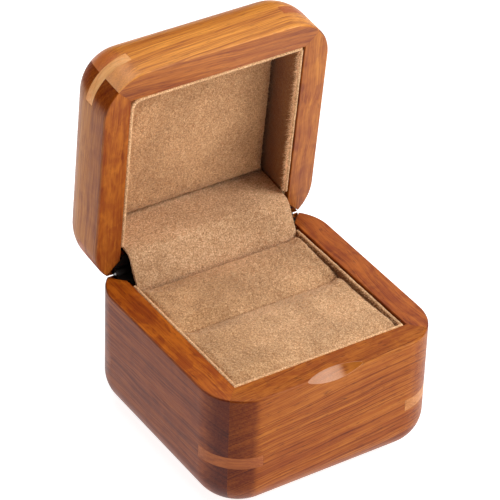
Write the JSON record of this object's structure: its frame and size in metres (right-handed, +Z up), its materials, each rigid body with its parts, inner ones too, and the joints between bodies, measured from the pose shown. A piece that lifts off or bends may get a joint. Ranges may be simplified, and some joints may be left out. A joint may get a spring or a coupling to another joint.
{
  "type": "ring box",
  "caption": "Small rounded hardwood ring box with mitred, keyed corners, a hinged lid, suede lining and two ring pads that meet at a slit.",
  "frame": {"origin": "centre of the box's flat underside, on the surface it stands on", "axes": "+Z up, -Y the front with the thumb scoop, +Y the hinge side, +X to the right seen from the front; the lid stands open"},
  "size_m": [0.06, 0.0751, 0.0896],
  "materials": {
    "wood_body": "satin oiled hardwood, fine straight grain",
    "wood_key": "satin oiled light hardwood",
    "suede": "short-nap synthetic suede",
    "card": "uncoated grey card",
    "foam": "open-cell foam",
    "black_steel": "blackened steel",
    "spring_steel": "plain spring steel"
  },
  "bodies": {
    "base": {"base_front_wall": "wood_body", "base_back_wall": "wood_body", "base_left_wall": "wood_body", "base_right_wall": "wood_body", "base_bottom_panel": "wood_body", "base_key_front_left": "wood_key", "base_key_front_right": "wood_key", "base_key_back_left": "wood_key", "base_key_back_right": "wood_key", "base_liner_front": "suede", "base_liner_left": "suede", "base_liner_right": "suede", "pad_board": "card", "ring_pad_front_cover": "suede", "ring_pad_front_foam": "foam", "ring_pad_rear_cover": "suede", "ring_pad_rear_foam": "foam", "hinge_leaf_base": "black_steel", "hinge_pin": "spring_steel", "hinge_screw_base_left": "black_steel", "hinge_screw_base_right": "black_steel", "snap_spring": "spring_steel"},
    "lid": {"lid_front_wall": "wood_body", "lid_back_wall": "wood_body", "lid_left_wall": "wood_body", "lid_right_wall": "wood_body", "lid_top_panel": "wood_body", "lid_key_front_left": "wood_key", "lid_key_front_right": "wood_key", "lid_key_back_left": "wood_key", "lid_key_back_right": "wood_key", "lid_liner_front": "suede", "lid_liner_left": "suede", "lid_liner_right": "suede", "lid_pad_board": "card", "lid_pad_cover": "suede", "lid_pad_wadding": "foam", "hinge_leaf_lid": "black_steel", "hinge_screw_lid_left": "black_steel", "hinge_screw_lid_right": "black_steel", "hinge_cover": "suede"}
  },
  "joints": [
    {"name": "lid_hinge", "type": "hinge", "parent": "base", "child": "lid", "pos_m": [0, 0.0269, 0.0322], "axis": [1, 0, 0], "range_deg": [0, 84.5], "deforming": ["hinge_cover", "snap_spring"]}
  ]
}
